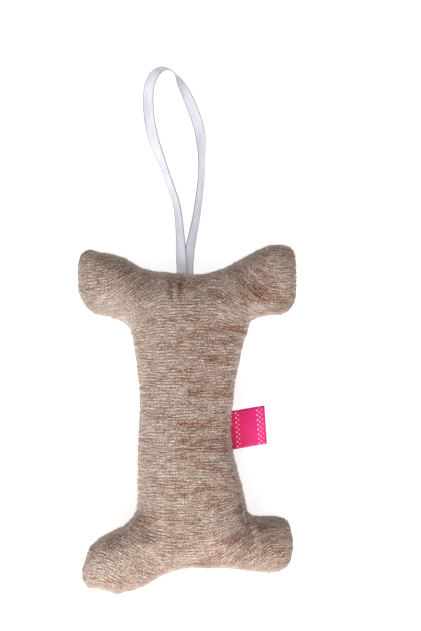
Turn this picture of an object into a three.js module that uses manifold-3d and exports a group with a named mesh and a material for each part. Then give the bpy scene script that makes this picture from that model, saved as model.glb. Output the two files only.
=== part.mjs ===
// A stuffed bone toy with a squeaker, lying on its back: two sewn panels, fibre filling, a blow-moulded
// bulb with a beating reed, a ribbon loop in the top seam and a folded label in the side seam.
// Millimetres. X runs across the bone, Y along it towards the loop, Z up from the resting face.
// The origin is under the middle of the bone, on the flat that it rests on.
import * as THREE from 'three';
import { mergeVertices } from 'three/addons/utils/BufferGeometryUtils.js';
import Module from 'manifold-3d';

const wasm = await Module();
wasm.setup();

// Driving dimensions of the bone
const boneLength = 229.2;
const boneWidth = 143.6;
const boneThickness = 45;
const fabricThickness = 1.2;
const seamAllowance = 4;
const restFlatDepth = 0.5;

// How the stuffing swells the cover: the width of the round along the seam, how blunt that round is,
// and the share by which a knob is thinner than the shaft
const edgeRound = 27;
const swellPower = 0.5;
const knobThinning = 0.04;
const eveningTurns = 2;

// Driving dimensions of the squeaker
const bulbDiameter = 42;
const bulbHeight = 24;
const bulbWall = 0.9;
const bulbFlatDiameter = 26;
const mouthCollarDepth = 2.4;
const barrelDiameter = 8.6;
const barrelBore = 6.4;
const barrelDepth = 5.2;
const plugFlangeDiameter = 13;
const plugFlangeThickness = 1.2;
const seatLength = 9.4;
const seatFlatOffset = 0.2;
const seatFloor = 1.1;
const grooveWidth = 2.2;
const grooveDepth = 1.5;
const reedWidth = 3.4;
const reedThickness = 0.22;
const reedStandOff = 0.4;
const reedTail = 3.6;
const reedFreeLength = 5.4;

// Driving dimensions of the ribbon loop and the side label
const ribbonWidth = 7;
const ribbonThickness = 0.8;
const ribbonCorner = 0.2;
const labelReach = 20.6;
const labelHeight = 25;
const labelPly = 0.4;
const labelPlyGap = 0.3;
const labelLeanDegrees = 4;
const labelSkewDegrees = 6;

// Clearances and working sizes
const fitGap = 0.3;
const squeakerGap = 0.15;
const cutOverrun = 20;
const weldTolerance = 1e-3;

// How finely the round stretches are divided
const latheSides = 24;
const bulbCornerSteps = 4;
const ribbonSteps = 60;
const labelEndSides = 6;

const halfLength = boneLength / 2;
const halfWidth = boneWidth / 2;
const halfThickness = boneThickness / 2;
const seamHeight = halfThickness - restFlatDepth;

// The seam's outline. Each row runs across the bone from its left edge to its right edge: the left
// place, the right place, and how far the row follows the bow of the bone's own end. The first and last
// rows are the ends, whose places across and along are listed below. All are shares of half the bone's
// width and length.
const rowShares = [
  [-0.935, -0.935, 0.9, -0.847, 1],
  [-0.962, -0.89, 0.94, -0.81, 0.85],
  [-0.963, -0.83, 0.965, -0.75, 0.65],
  [-0.92, -0.757, 0.965, -0.66, 0.4],
  [-0.88, -0.712, 0.945, -0.605, 0.25],
  [-0.82, -0.68, 0.885, -0.557, 0.12],
  [-0.7, -0.636, 0.77, -0.54, 0.05],
  [-0.57, -0.592, 0.63, -0.538, 0],
  [-0.5, -0.55, 0.57, -0.52, 0],
  [-0.468, -0.49, 0.543, -0.48, 0],
  [-0.459, -0.38, 0.5, -0.38, 0],
  [-0.46, -0.22, 0.443, -0.22, 0],
  [-0.45, -0.06, 0.408, -0.06, 0],
  [-0.444, 0.15, 0.435, 0.15, 0.15],
  [-0.478, 0.36, 0.49, 0.355, 0.45],
  [-0.508, 0.472, 0.543, 0.465, 0.5],
  [-0.548, 0.525, 0.58, 0.53, 0.5],
  [-0.66, 0.565, 0.67, 0.571, 0.45],
  [-0.82, 0.588, 0.82, 0.585, 0.35],
  [-0.9, 0.614, 0.9, 0.601, 0.28],
  [-0.953, 0.66, 0.958, 0.636, 0.3],
  [-0.988, 0.73, 0.993, 0.705, 0.48],
  [-1, 0.84, 1, 0.82, 0.8],
  [-0.992, 0.9, 0.993, 0.895, 0.93],
  [-0.965, 0.945, 0.985, 0.945, 1],
];
const bottomEndShares = [
  [-0.935, -0.935], [-0.87, -0.968], [-0.79, -0.974], [-0.61, -1], [-0.51, -0.981], [-0.39, -0.954],
  [-0.22, -0.897], [-0.02, -0.853], [0.18, -0.851], [0.43, -0.857], [0.61, -0.87], [0.75, -0.878],
  [0.84, -0.87], [0.9, -0.847],
];
const topEndShares = [
  [-0.965, 0.945], [-0.89, 0.971], [-0.81, 0.958], [-0.6, 0.931], [-0.48, 0.89], [-0.35, 0.854],
  [-0.18, 0.841], [0.03, 0.831], [0.23, 0.845], [0.46, 0.905], [0.66, 0.972], [0.82, 1],
  [0.92, 0.986], [0.985, 0.945],
];
// Where a knob begins, across the bone and along it, and where its own thickness is reached
const neckShare = 0.4;
const kneeShare = 0.47;
const knobShare = 0.8;
// The seam's place along the bone where the loop leaves it
const loopEdgeShare = 0.835;
// Where the label leaves the seam: the seam's place at the label's upper end, and the label's middle
const labelSeamShare = 0.4215;
const labelCentreShare = -0.058;

// The ribbon's route, from its left end over the turn to its right end: across the bone, out from the
// seam's place at the loop, and up from the floor
const loopRoute = [
  [-3.3, 0.7, 23.0],
  [-3.9, 9.3, 22.0],
  [-4.7, 24.2, 17.2],
  [-6.9, 43.1, 8.6],
  [-10.4, 54.8, 4.6],
  [-15.4, 69.1, 3.2],
  [-21.4, 85.3, 2.1],
  [-24.9, 99.0, 1.6],
  [-26.1, 112.0, 1.8],
  [-25.4, 123.0, 2.3],
  [-21.6, 131.4, 2.8],
  [-15.4, 134.9, 3.6],
  [-9.2, 132.6, 4.0],
  [-4.6, 125.3, 3.2],
  [-0.3, 116.9, 2.0],
  [4.1, 106.3, 1.6],
  [8.1, 92.8, 1.9],
  [9.1, 79.5, 3.0],
  [9.2, 67.8, 3.6],
  [8.5, 57.7, 4.4],
  [6.0, 37.9, 9.6],
  [3.7, 25.8, 14.6],
  [1.8, 16.3, 18.0],
  [0.7, 8.3, 20.0],
  [0.4, 0.3, 21.0],
];

const materials = {
  chenille: new THREE.MeshStandardMaterial({ color: 0xb79f92, roughness: 0.95, metalness: 0 }),
  fibre: new THREE.MeshStandardMaterial({ color: 0xf2efe8, roughness: 1, metalness: 0 }),
  satin: new THREE.MeshStandardMaterial({ color: 0xe2e0ea, roughness: 0.45, metalness: 0 }),
  label: new THREE.MeshStandardMaterial({ color: 0xe0257f, roughness: 0.55, metalness: 0 }),
  bulb: new THREE.MeshStandardMaterial({ color: 0xe9e7df, roughness: 0.4, metalness: 0 }),
  plug: new THREE.MeshStandardMaterial({ color: 0xf4f4f2, roughness: 0.35, metalness: 0 }),
  reed: new THREE.MeshStandardMaterial({ color: 0xd9dee0, roughness: 0.25, metalness: 0 }),
};

// A closed mesh as a solid that can be joined and cut
function solidOf(geometry) {
  const bare = geometry.clone();
  bare.deleteAttribute('normal');
  bare.deleteAttribute('uv');
  const welded = mergeVertices(bare, weldTolerance);
  const mesh = new wasm.Mesh({
    numProp: 3,
    vertProperties: Float32Array.from(welded.attributes.position.array),
    triVerts: Uint32Array.from(welded.index.array),
  });
  mesh.merge();
  return new wasm.Manifold(mesh);
}

// A solid back as a geometry with flat facets
function geometryOf(solid) {
  const mesh = solid.getMesh();
  const geometry = new THREE.BufferGeometry();
  geometry.setAttribute('position', new THREE.BufferAttribute(Float32Array.from(mesh.vertProperties), 3));
  geometry.setIndex(Array.from(mesh.triVerts));
  geometry.computeVertexNormals();
  return geometry;
}

function node(name, solid, material) {
  const mesh = new THREE.Mesh(geometryOf(solid), material);
  mesh.name = name;
  return mesh;
}

// A box between two corners
function block(low, high) {
  const size = new THREE.Vector3().subVectors(high, low);
  const box = new THREE.BoxGeometry(size.x, size.y, size.z);
  box.translate((low.x + high.x) / 2, (low.y + high.y) / 2, (low.z + high.z) / 2);
  return solidOf(box);
}

// A slice of space between two heights, wider than the whole bone
function layer(lowZ, highZ) {
  const wideX = halfWidth + cutOverrun;
  const wideY = halfLength + cutOverrun;
  return block(new THREE.Vector3(-wideX, -wideY, lowZ), new THREE.Vector3(wideX, wideY, highZ));
}

// The seam's points at a depth inside the outline, row by row. Edge points move in square to the
// outline, and a row's other points keep their share of the way across it.
function seamGrid(depth) {
  const ends = [bottomEndShares, topEndShares];
  const columns = topEndShares.length;
  const rows = rowShares.length;
  const edge = [
    ...bottomEndShares,
    ...rowShares.slice(1, -1).map((row) => row.slice(2, 4)),
    ...topEndShares.toReversed(),
    ...rowShares.slice(1, -1).map((row) => row.slice(0, 2)).toReversed(),
  ].map(([x, y]) => new THREE.Vector2(x * halfWidth, y * halfLength));
  const inner = edge.map((point, i) => {
    const before = edge.at(i - 1);
    const after = edge[(i + 1) % edge.length];
    const along = new THREE.Vector2().subVectors(after, before).normalize();
    return new THREE.Vector2(point.x - along.y * depth, point.y + along.x * depth);
  });
  const bottom = inner.slice(0, columns);
  const right = [bottom.at(-1), ...inner.slice(columns, columns + rows - 2)];
  const topEnd = inner.slice(columns + rows - 2, 2 * columns + rows - 2).toReversed();
  const left = [bottom[0], ...inner.slice(2 * columns + rows - 2).toReversed()];
  right.push(topEnd.at(-1));
  left.push(topEnd[0]);
  const across = ends.map((end) => end.map(([x]) => (x - end[0][0]) / (end.at(-1)[0] - end[0][0])));
  const bows = [bottom, topEnd].map((end, e) => end.map((point, c) => (
    point.y - THREE.MathUtils.lerp(end[0].y, end.at(-1).y, across[e][c])
  )));
  const grid = rowShares.map((row, r) => {
    const upper = row[1] > 0 ? 1 : 0;
    const climb = r / (rows - 1);
    return Array.from({ length: columns }, (_, c) => {
      const share = THREE.MathUtils.lerp(across[0][c], across[1][c], climb);
      const place = new THREE.Vector2().lerpVectors(left[r], right[r], share);
      place.y += row[4] * bows[upper][c];
      return place;
    });
  });
  grid[0] = bottom;
  grid[rows - 1] = topEnd;
  return { grid, edge: inner };
}

// The distance from a place to the nearest stretch of a closed outline
function distanceTo(edge, place) {
  const nearest = new THREE.Vector3();
  const point = new THREE.Vector3(place.x, place.y, 0);
  return Math.min(...edge.map((start, i) => {
    const end = edge[(i + 1) % edge.length];
    const stretch = new THREE.Line3(new THREE.Vector3(start.x, start.y, 0), new THREE.Vector3(end.x, end.y, 0));
    stretch.closestPointToPoint(point, true, nearest);
    return nearest.distanceTo(point);
  }));
}

// How full the stuffing makes the cover at each point: nothing at the seam, and one past the edge's
// round. Evened out a few times, because cloth under even pressure has no ridge.
function fullness(grid, edge, depth) {
  const inside = (r, c) => r > 0 && c > 0 && r < grid.length - 1 && c < grid[0].length - 1;
  let full = grid.map((row, r) => row.map((place, c) => {
    const share = inside(r, c) ? Math.min(1, distanceTo(edge, place) / (edgeRound - depth)) : 0;
    return 1 - (1 - share) ** 2;
  }));
  for (let turn = 0; turn < eveningTurns; turn += 1) {
    full = full.map((row, r) => row.map((value, c) => {
      if (!inside(r, c)) {
        return value;
      }
      const near = [[r - 1, c], [r + 1, c], [r, c - 1], [r, c + 1]];
      const pull = near.map(([i, k]) => 1 / grid[r][c].distanceTo(grid[i][k]));
      const sum = near.reduce((total, [i, k], n) => total + pull[n] * full[i][k], 0);
      // the edge keeps its round, and the deep middle is evened most
      return THREE.MathUtils.lerp(value, sum / pull.reduce((total, each) => total + each, 0), value);
    }));
  }
  const most = Math.max(...full.flat());
  return full.map((row) => row.map((value) => value / most));
}

// The stuffed form, its whole surface brought in by a depth: it swells from the seam to the crest of
// the shaft, and a little less in the knobs
function stuffedForm(depth) {
  const { grid, edge } = seamGrid(depth);
  const full = fullness(grid, edge, depth);
  const rise = grid.map((row, r) => row.map((place, c) => {
    const knob = THREE.MathUtils.smoothstep(Math.abs(place.y), kneeShare * halfLength, knobShare * halfLength);
    return (halfThickness - depth) * (1 - knobThinning * knob) * full[r][c] ** swellPower;
  }));
  const columns = grid[0].length;
  const points = [];
  const faces = [];
  for (const side of [1, -1]) {
    grid.forEach((row, r) => row.forEach((place, c) => {
      points.push(new THREE.Vector3(place.x, place.y, seamHeight + side * rise[r][c]));
    }));
  }
  const under = grid.length * columns;
  for (let r = 0; r + 1 < grid.length; r += 1) {
    for (let c = 0; c + 1 < columns; c += 1) {
      const a = r * columns + c;
      const b = a + 1;
      const d = a + columns;
      const e = d + 1;
      // the shorter diagonal of each patch
      const split = grid[r][c].distanceTo(grid[r + 1][c + 1]) < grid[r][c + 1].distanceTo(grid[r + 1][c]);
      const patch = split ? [[a, b, e], [a, e, d]] : [[a, b, d], [b, e, d]];
      patch.forEach(([i, j, k]) => faces.push(i, j, k, under + i, under + k, under + j));
    }
  }
  const geometry = new THREE.BufferGeometry().setFromPoints(points);
  geometry.setIndex(faces);
  return solidOf(geometry);
}

// Sewn cover
const outerForm = stuffedForm(0);
const coverInside = stuffedForm(fabricThickness);
const allowanceInside = stuffedForm(fabricThickness + seamAllowance);
const top = seamHeight + halfThickness + cutOverrun;
const halfGap = fitGap / 2;
const seamFace = seamHeight + halfGap;
const seamFaceBelow = seamHeight - halfGap;

// A panel is the cover on its side of the seam, with the allowance folded in along the seam
function panel(lowZ, highZ, foldLowZ, foldHighZ) {
  return outerForm.intersect(layer(lowZ, highZ))
    .subtract(coverInside.subtract(layer(foldLowZ, foldHighZ)))
    .subtract(allowanceInside);
}
const frontPanel = panel(seamFace, top, seamHeight, seamFace + fabricThickness);
const backPanel = panel(0, seamFaceBelow, seamFaceBelow - fabricThickness, seamHeight);

// Squeaker, turned about its own upright axis through the middle of the shaft
const bulbRadius = bulbDiameter / 2;
const bulbHalf = bulbHeight / 2;
const bulbFlat = bulbFlatDiameter / 2;
const barrelRadius = barrelDiameter / 2;
const mouthRadius = barrelRadius + squeakerGap;
const bulbBase = seamHeight - bulbHalf;

// Points of a quarter oval from one corner to the next, the first left out
function quarterOval(centreR, centreZ, reachR, reachZ, fromAngle, steps) {
  return Array.from({ length: steps }, (_, s) => {
    const angle = fromAngle + (Math.PI / 2) * ((s + 1) / steps);
    return new THREE.Vector2(centreR + reachR * Math.cos(angle), centreZ + reachZ * Math.sin(angle));
  });
}

// The outline of the bulb from its base to its crown, brought in by a depth
function bulbSide(depth) {
  const reachR = bulbRadius - bulbFlat - depth;
  const reachZ = bulbHalf - depth;
  return [
    new THREE.Vector2(bulbFlat, seamHeight - reachZ),
    ...quarterOval(bulbFlat, seamHeight, reachR, reachZ, -Math.PI / 2, bulbCornerSteps),
    ...quarterOval(bulbFlat, seamHeight, reachR, reachZ, 0, bulbCornerSteps),
  ];
}

function lathe(profile) {
  const geometry = new THREE.LatheGeometry(profile, latheSides);
  geometry.rotateX(Math.PI / 2);
  return solidOf(geometry);
}

// The bulb's wall, with a collar round the mouth in its base
const collarOuter = mouthRadius + bulbWall;
const bulb = lathe([
  new THREE.Vector2(mouthRadius, bulbBase),
  ...bulbSide(0),
  new THREE.Vector2(0, seamHeight + bulbHalf),
  new THREE.Vector2(0, seamHeight + bulbHalf - bulbWall),
  ...bulbSide(bulbWall).reverse(),
  new THREE.Vector2(collarOuter, bulbBase + bulbWall),
  new THREE.Vector2(collarOuter, bulbBase + mouthCollarDepth),
  new THREE.Vector2(mouthRadius, bulbBase + mouthCollarDepth),
  new THREE.Vector2(mouthRadius, bulbBase),
]);

// The plug's barrel and flange round an open bore
const flangeRadius = plugFlangeDiameter / 2;
const boreRadius = barrelBore / 2;
const flangeTop = bulbBase - squeakerGap;
const flangeBottom = flangeTop - plugFlangeThickness;
const plug = lathe([
  new THREE.Vector2(boreRadius, flangeBottom),
  new THREE.Vector2(flangeRadius, flangeBottom),
  new THREE.Vector2(flangeRadius, flangeTop),
  new THREE.Vector2(barrelRadius, flangeTop),
  new THREE.Vector2(barrelRadius, bulbBase + barrelDepth),
  new THREE.Vector2(boreRadius, bulbBase + barrelDepth),
  new THREE.Vector2(boreRadius, flangeBottom),
]);

// The half-round trough that the reed beats on, open at its foot and closed at its head
const seatRadius = boreRadius - squeakerGap;
const seatFlat = -seatFlatOffset;
const seatTop = flangeBottom + seatLength;
const halfGroove = grooveWidth / 2;
const rod = lathe([
  new THREE.Vector2(0, flangeBottom),
  new THREE.Vector2(seatRadius, flangeBottom),
  new THREE.Vector2(seatRadius, seatTop),
  new THREE.Vector2(0, seatTop),
]);
const seat = rod
  .subtract(block(
    new THREE.Vector3(-cutOverrun, seatFlat, flangeBottom - cutOverrun),
    new THREE.Vector3(cutOverrun, cutOverrun, seatTop + cutOverrun),
  ))
  .subtract(block(
    new THREE.Vector3(-halfGroove, seatFlat - grooveDepth, flangeBottom - cutOverrun),
    new THREE.Vector3(halfGroove, cutOverrun, seatTop - seatFloor),
  ));

// The reed stands off the flat, its tail under the wedge and its tip free in the bulb
const reedFront = seatFlat + reedStandOff;
const reedBack = reedFront + reedThickness;
const reedRoot = flangeBottom + reedTail;
const reed = block(
  new THREE.Vector3(-reedWidth / 2, reedFront, flangeBottom + squeakerGap),
  new THREE.Vector3(reedWidth / 2, reedBack, reedRoot + reedFreeLength),
);

// The wedge fills the other side of the barrel along the reed's tail
const wedge = lathe([
  new THREE.Vector2(0, flangeBottom),
  new THREE.Vector2(seatRadius, flangeBottom),
  new THREE.Vector2(seatRadius, reedRoot),
  new THREE.Vector2(0, reedRoot),
]).intersect(block(
  new THREE.Vector3(-cutOverrun, reedBack + reedStandOff, flangeBottom - cutOverrun),
  new THREE.Vector3(cutOverrun, cutOverrun, reedRoot + cutOverrun),
));

// Room that the filling leaves round the squeaker
const bulbRoom = lathe([
  new THREE.Vector2(0, bulbBase - fitGap),
  ...bulbSide(-fitGap),
  new THREE.Vector2(0, seamHeight + bulbHalf + fitGap),
]).add(lathe([
  new THREE.Vector2(0, flangeBottom - fitGap),
  new THREE.Vector2(flangeRadius + fitGap, flangeBottom - fitGap),
  new THREE.Vector2(flangeRadius + fitGap, bulbBase + fitGap),
  new THREE.Vector2(0, bulbBase + fitGap),
]));

// Fibre filling, clear of the cover and of the allowance that is folded into it
const fillDepth = fabricThickness + fitGap;
const foldHalf = halfGap + fabricThickness + fitGap;
const filling = stuffedForm(fillDepth).subtract(
  layer(seamHeight - foldHalf, seamHeight + foldHalf).subtract(stuffedForm(fillDepth + seamAllowance)),
);

// The corner of the bone that a knob's filling takes, past the neck and past the shaft's end
const neck = neckShare * halfWidth;
const knee = kneeShare * halfLength;
function corner(sideX, sideY, gap) {
  const nearX = sideX * (neck + gap);
  const farX = sideX * (halfWidth + cutOverrun);
  const nearY = sideY * (knee + gap);
  const farY = sideY * (halfLength + cutOverrun);
  return block(
    new THREE.Vector3(Math.min(nearX, farX), Math.min(nearY, farY), -cutOverrun),
    new THREE.Vector3(Math.max(nearX, farX), Math.max(nearY, farY), top),
  );
}
const knobFill = (sideX, sideY) => filling.intersect(corner(sideX, sideY, fitGap));
const shaftFill = [[-1, 1], [1, 1], [-1, -1], [1, -1]]
  .reduce((rest, [sideX, sideY]) => rest.subtract(corner(sideX, sideY, 0)), filling)
  .subtract(bulbRoom);
const frontFill = shaftFill.intersect(layer(seamFace, top));
const backFill = shaftFill.intersect(layer(0, seamFaceBelow));

// Ribbon loop: one flat strip with eased corners
function ribbonSection() {
  const wide = ribbonWidth / 2;
  const thick = ribbonThickness / 2;
  const section = new THREE.Shape();
  section.moveTo(-wide + ribbonCorner, -thick);
  section.lineTo(wide - ribbonCorner, -thick);
  section.lineTo(wide, -thick + ribbonCorner);
  section.lineTo(wide, thick - ribbonCorner);
  section.lineTo(wide - ribbonCorner, thick);
  section.lineTo(-wide + ribbonCorner, thick);
  section.lineTo(-wide, thick - ribbonCorner);
  section.lineTo(-wide, -thick + ribbonCorner);
  section.closePath();
  return section;
}
const loopRoot = loopEdgeShare * halfLength;
const loopPath = new THREE.CatmullRomCurve3(
  loopRoute.map(([x, out, up]) => new THREE.Vector3(x, loopRoot + out, up)),
);
const loopStrip = solidOf(new THREE.ExtrudeGeometry(ribbonSection(), {
  steps: ribbonSteps,
  bevelEnabled: false,
  extrudePath: loopPath,
}));

// Side label: a strip folded double and sewn in askew, its inner edge on the line where it flaps
const labelHalf = labelPly + labelPlyGap / 2;
const slotHalf = labelPlyGap / 2;
function labelSection() {
  const section = new THREE.Shape();
  section.absarc(0, 0, labelHalf, Math.PI / 2, (3 * Math.PI) / 2, false);
  section.absarc(labelReach - labelHalf, 0, labelHalf, -Math.PI / 2, Math.PI / 2, false);
  section.closePath();
  const slot = new THREE.Path();
  slot.absarc(labelPly, 0, slotHalf, Math.PI / 2, (3 * Math.PI) / 2, false);
  slot.absarc(labelReach - labelHalf, 0, slotHalf, -Math.PI / 2, Math.PI / 2, false);
  slot.closePath();
  section.holes.push(slot);
  return section;
}
const labelGeometry = new THREE.ExtrudeGeometry(labelSection(), {
  depth: labelHeight,
  bevelEnabled: false,
  curveSegments: labelEndSides,
});
const labelTurn = THREE.MathUtils.degToRad(labelLeanDegrees);
const labelSkew = Math.tan(THREE.MathUtils.degToRad(labelSkewDegrees));
const labelLean = (labelHeight / 2) * Math.sin(labelTurn);
labelGeometry.translate(0, 0, -labelHeight / 2);
labelGeometry.rotateX(Math.PI / 2);
labelGeometry.applyMatrix4(new THREE.Matrix4().makeShear(labelSkew, 0, 0, 0, 0, 0));
labelGeometry.rotateZ(labelTurn);
const labelRootX = labelSeamShare * halfWidth + fitGap + labelHalf + labelLean;
labelGeometry.translate(labelRootX, labelCentreShare * halfLength, seamHeight);
const label = solidOf(labelGeometry);

const toy = new THREE.Group();
toy.add(
  node('back_panel', backPanel, materials.chenille),
  node('front_panel', frontPanel, materials.chenille),
  node('shaft_fill_front', frontFill, materials.fibre),
  node('shaft_fill_back', backFill, materials.fibre),
  node('knob_fill_top_left', knobFill(-1, 1), materials.fibre),
  node('knob_fill_top_right', knobFill(1, 1), materials.fibre),
  node('knob_fill_bottom_left', knobFill(-1, -1), materials.fibre),
  node('knob_fill_bottom_right', knobFill(1, -1), materials.fibre),
  node('squeaker_bulb', bulb, materials.bulb),
  node('squeaker_plug', plug, materials.plug),
  node('reed_seat', seat, materials.plug),
  node('reed_wedge', wedge, materials.plug),
  node('reed', reed, materials.reed),
  node('hanging_loop', loopStrip, materials.satin),
  node('side_label', label, materials.label),
);

export default toy;
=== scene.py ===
# %% [markdown]
# # A stuffed bone toy with a squeaker
# Two bone-shaped cuts of ribbed chenille are sewn round their edge, turned and stuffed, with a satin
# ribbon loop in the top seam and a folded label in the side seam. The CAD model gives every body, joint
# and size. This scene gives the cloth: it is inflated by Blender's cloth simulation rather than carved,
# because the fullness and the puckers of a sewn shape come by themselves from pressure on cut cloth.

# %% Load the frame
import math

import bpy
import bmesh
import numpy as np
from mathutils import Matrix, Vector, geometry, noise


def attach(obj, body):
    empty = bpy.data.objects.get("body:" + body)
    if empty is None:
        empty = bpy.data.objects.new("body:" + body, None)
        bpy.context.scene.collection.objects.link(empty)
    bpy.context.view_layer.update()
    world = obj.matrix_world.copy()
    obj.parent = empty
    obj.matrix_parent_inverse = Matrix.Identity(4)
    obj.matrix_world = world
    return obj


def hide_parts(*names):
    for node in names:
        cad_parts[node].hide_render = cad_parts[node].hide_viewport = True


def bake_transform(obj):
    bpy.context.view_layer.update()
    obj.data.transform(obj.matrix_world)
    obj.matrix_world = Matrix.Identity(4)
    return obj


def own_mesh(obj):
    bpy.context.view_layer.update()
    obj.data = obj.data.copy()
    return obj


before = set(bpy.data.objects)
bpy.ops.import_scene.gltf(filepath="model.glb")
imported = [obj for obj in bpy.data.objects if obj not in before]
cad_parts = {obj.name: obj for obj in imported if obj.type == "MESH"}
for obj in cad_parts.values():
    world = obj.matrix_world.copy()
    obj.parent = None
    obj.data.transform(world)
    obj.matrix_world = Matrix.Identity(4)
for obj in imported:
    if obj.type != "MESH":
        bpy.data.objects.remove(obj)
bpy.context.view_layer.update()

MM = 0.001

# %% [markdown]
# ## The camera
# The toy lies on its back and is seen squarely from the front, so the camera looks straight down with
# the loop's end at the top of the picture. A long lens keeps the sides of the bone from showing.
# The picture is 421 by 631, and 0.65 mm of the seam's level fills one of its pixels.

# %% Camera
PIXEL = 0.65 * MM
SEAM_HEIGHT = 22.0  # in mm over the floor
SEAM_LEVEL = SEAM_HEIGHT * MM
LENS = 100.0
LONG_SIDE = 631
PICTURE_MIDDLE = (15.1 * MM, 67.6 * MM)


def new_object(name, data):
    made = bpy.data.objects.new(name, data)
    bpy.context.scene.collection.objects.link(made)
    return made


camera_data = bpy.data.cameras.new("camera")
camera_data.lens = LENS
camera_data.clip_end = 10
camera = new_object("camera", camera_data)
distance = LONG_SIDE * PIXEL * LENS / camera_data.sensor_width
camera.location = (*PICTURE_MIDDLE, SEAM_LEVEL + distance)
bpy.context.scene.camera = camera
print("camera stands", round(distance, 3), "m above the seam")

# %% [markdown]
# ## Small helpers
# Every material here is a node tree, and every effect that two materials share is a node group. A few
# short functions keep the wiring readable: one adds a node and sets or links its inputs, one does a sum.

# %% Node helpers
def feed(socket, value):
    """Links an input to another node's output, or sets the input's own value."""
    if isinstance(value, bpy.types.NodeSocket):
        socket.id_data.links.new(value, socket)
    else:
        socket.default_value = value


def add(tree, kind, inputs=None, **settings):
    made = tree.nodes.new(kind)
    for key, value in settings.items():
        setattr(made, key, value)
    for key, value in (inputs or {}).items():
        feed(made.inputs[key], value)
    return made


def calc(operation, *values, clamp=False):
    """A sum in the tree that the first socket among its values is in."""
    tree = next(v.id_data for v in values if isinstance(v, bpy.types.NodeSocket))
    return add(tree, "ShaderNodeMath", dict(enumerate(values)), operation=operation, use_clamp=clamp).outputs[0]


def ease(value, low, high, first=0.0, last=1.0):
    """Goes smoothly from first to last while the value goes from low to high."""
    return add(value.id_data, "ShaderNodeMapRange", {
        "Value": value, "From Min": low, "From Max": high, "To Min": first, "To Max": last,
    }, interpolation_type="SMOOTHSTEP").outputs["Result"]


def split(vector):
    return add(vector.id_data, "ShaderNodeSeparateXYZ", {"Vector": vector}).outputs


def shade(code):
    """A written colour, such as "b79f92", as linear light with its alpha."""
    parts = [int(code[i:i + 2], 16) / 255 for i in (0, 2, 4)]
    return *(c / 12.92 if c <= 0.04045 else ((c + 0.055) / 1.055) ** 2.4 for c in parts), 1


def ramp(factor, stops):
    """Written colours at places from 0 to 1, blended in between."""
    made = add(factor.id_data, "ShaderNodeValToRGB", {"Fac": factor})
    while len(made.color_ramp.elements) < len(stops):
        made.color_ramp.elements.new(0.5)
    for element, (place, code) in zip(made.color_ramp.elements, stops.items()):
        element.position = place
        element.color = shade(code)
    return made.outputs["Color"]


def blend_colours(factor, *colours):
    first, second = (shade(c) if isinstance(c, str) else c for c in colours)
    inputs = {0: factor, 6: first, 7: second}
    return add(factor.id_data, "ShaderNodeMix", inputs, data_type="RGBA").outputs[2]


def new_material(name, **principled):
    made = bpy.data.materials.new(name)
    made.use_nodes = True
    shader = made.node_tree.nodes["Principled BSDF"]
    for key, value in principled.items():
        shader.inputs[key.replace("_", " ")].default_value = value
    return made, made.node_tree, shader


def dress(shader, colour, height=None, strength=1.0, depth=1.0, roughness=None):
    """Feeds what varies over the surface into the shader. The bump is depth mm deep."""
    feed(shader.inputs["Base Color"], colour)
    if roughness is not None:
        feed(shader.inputs["Roughness"], roughness)
    if height is not None:
        bump = {"Strength": strength, "Distance": depth * MM, "Height": height}
        feed(shader.inputs["Normal"], add(shader.id_data, "ShaderNodeBump", bump).outputs["Normal"])


def cloth_place(tree):
    """The place on the cut of cloth, in mm, from the piece's UV layer."""
    return add(tree, "ShaderNodeUVMap", uv_map="cloth").outputs["UV"]


def solid_place(tree):
    """The place in the piece itself, in mm, for what has no cloth."""
    inputs = {0: add(tree, "ShaderNodeTexCoord").outputs["Object"], 1: (1000, 1000, 1000)}
    return add(tree, "ShaderNodeVectorMath", inputs, operation="MULTIPLY").outputs[0]


# %% [markdown]
# ## Shared effects
# Two node groups do most of the work, and both are given a place in millimetres, so that ribs run with
# the cloth and not with the room. Streaks makes soft patches longer one way than the other, as worn or
# brushed pile has. Threads makes rows of yarn with a pitch, a wander and breaks.

# %% Shader groups
def new_group(name, output, **numbers):
    """A group that is given a place and named numbers and puts out one number."""
    tree = bpy.data.node_groups.new(name, "ShaderNodeTree")
    tree.interface.new_socket(name="Place", in_out="INPUT", socket_type="NodeSocketVector")
    for label, value in numbers.items():
        tree.interface.new_socket(name=label.replace("_", " "), in_out="INPUT",
                                  socket_type="NodeSocketFloat").default_value = value
    tree.interface.new_socket(name=output, in_out="OUTPUT", socket_type="NodeSocketFloat")
    return tree, tree.nodes.new("NodeGroupInput").outputs, tree.nodes.new("NodeGroupOutput").inputs


def use_group(group, place, *numbers):
    """Puts a group in the tree that the place is in, and feeds its inputs in their order."""
    made = add(place.id_data, "ShaderNodeGroup", node_tree=group)
    for socket, value in zip(made.inputs, (place, *numbers), strict=True):
        feed(socket, value)
    return made.outputs[0]


streak_group, given, result = new_group(
    "Streaks", "Value", Along=5.0, Across=1.0, Detail=2.0, Low=0.35, High=0.65)
parts = split(given["Place"])
place = add(streak_group, "ShaderNodeCombineXYZ", {
    "X": calc("DIVIDE", parts["X"], given["Along"]), "Y": calc("DIVIDE", parts["Y"], given["Across"]),
    "Z": parts["Z"],
}).outputs[0]
cloud = add(streak_group, "ShaderNodeTexNoise", {
    "Vector": place, "Scale": 1.0, "Detail": given["Detail"], "Roughness": 0.55,
}).outputs["Fac"]
feed(result["Value"], ease(cloud, given["Low"], given["High"]))


def streaks(place, along, across, detail, low, high):
    """Soft patches, in mm along and across; noise under low gives 0 and over high 1."""
    return use_group(streak_group, place, along, across, detail, low, high)


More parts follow.
